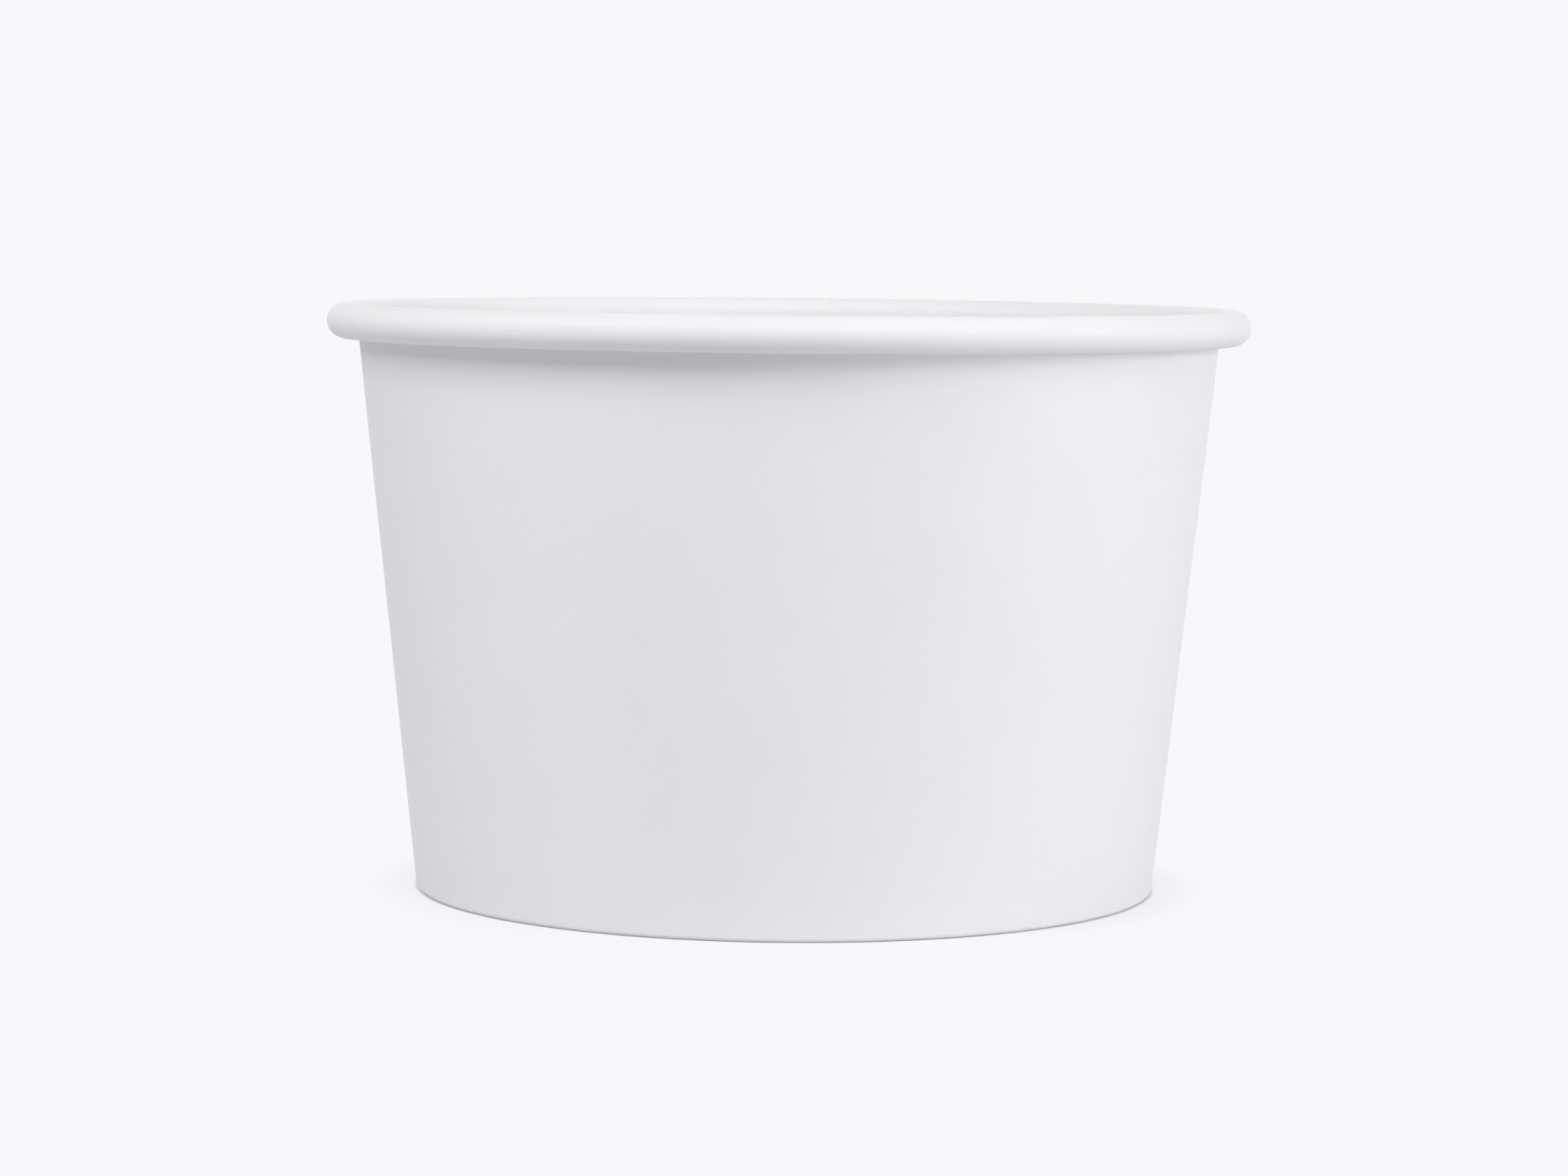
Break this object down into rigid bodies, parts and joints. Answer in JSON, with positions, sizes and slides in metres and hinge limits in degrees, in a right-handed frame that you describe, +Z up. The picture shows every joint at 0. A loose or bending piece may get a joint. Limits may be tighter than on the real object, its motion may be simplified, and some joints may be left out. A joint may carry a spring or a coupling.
{
  "type": "paper sundae cup",
  "caption": "Open tapered cup of coated white paperboard with a rolled rim, a lapped side seam and a flat bottom set up inside its foot.",
  "frame": {"origin": "centre of the foot, on the table", "axes": "+Z up along the cup's axis, +Y towards the side seam at the back"},
  "size_m": [0.096, 0.096, 0.0608],
  "materials": {
    "wall_board": "satin, coated paperboard",
    "base_board": "satin, coated paperboard"
  },
  "bodies": {
    "root": {"side_wall": "wall_board", "base_disc": "base_board"}
  },
  "joints": []
}
